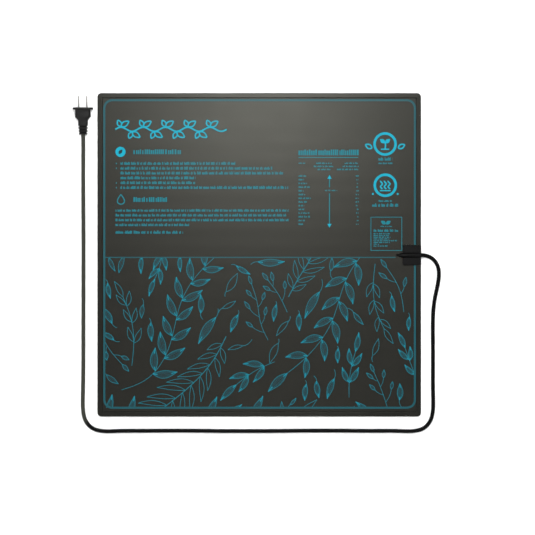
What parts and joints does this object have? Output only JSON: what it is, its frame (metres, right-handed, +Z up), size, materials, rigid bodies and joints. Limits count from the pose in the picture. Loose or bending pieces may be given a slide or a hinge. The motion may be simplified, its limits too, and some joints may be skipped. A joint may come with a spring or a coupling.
{
  "type": "seedling heat mat",
  "caption": "Square, thin laminated heating mat with a raised edge frame, a ridged power entry on one side and a mains lead that ends in a flat-blade plug.",
  "frame": {"origin": "centre of the mat's underside, on the surface that it lies on", "axes": "+Z up out of the printed face, +X towards the edge where the lead leaves, +Y towards the printed heading"},
  "size_m": [0.5769, 0.534, 0.0173],
  "materials": {
    "printed_vinyl": "satin printed vinyl sheet",
    "base_vinyl": "matte vinyl sheet",
    "frame_vinyl": "satin vinyl with a fine grain",
    "entry_plastic": "matte moulded plastic",
    "felt": "needled felt",
    "foil": "bright foil",
    "wire_silicone": "silicone",
    "lead_jacket": "satin jacket",
    "line_core_jacket": "smooth",
    "neutral_core_jacket": "smooth",
    "crimp_tin": "tin plated",
    "shrink_tube": "matte",
    "potting": "cast resin",
    "plug_vinyl": "satin moulded vinyl",
    "insert_plastic": "satin",
    "nickel": "nickel plated"
  },
  "bodies": {
    "root": {"bottom_cover": "base_vinyl", "top_cover": "printed_vinyl", "edge_frame": "frame_vinyl", "insulation_felt": "felt", "reflector_foil": "foil", "heating_wire": "wire_silicone", "heat_spreader_foil": "foil", "entry_base": "entry_plastic", "entry_cover": "entry_plastic", "line_crimp": "crimp_tin", "neutral_crimp": "crimp_tin", "line_shrink_sleeve": "shrink_tube", "neutral_shrink_sleeve": "shrink_tube", "potting_compound": "potting", "line_core": "line_core_jacket", "neutral_core": "neutral_core_jacket", "lead_tail": "lead_jacket", "power_cord": "lead_jacket", "plug_body": "plug_vinyl", "plug_insert": "insert_plastic", "line_blade": "nickel", "neutral_blade": "nickel", "plug_lead_tail": "lead_jacket", "plug_line_core": "line_core_jacket", "plug_neutral_core": "neutral_core_jacket"}
  },
  "joints": []
}
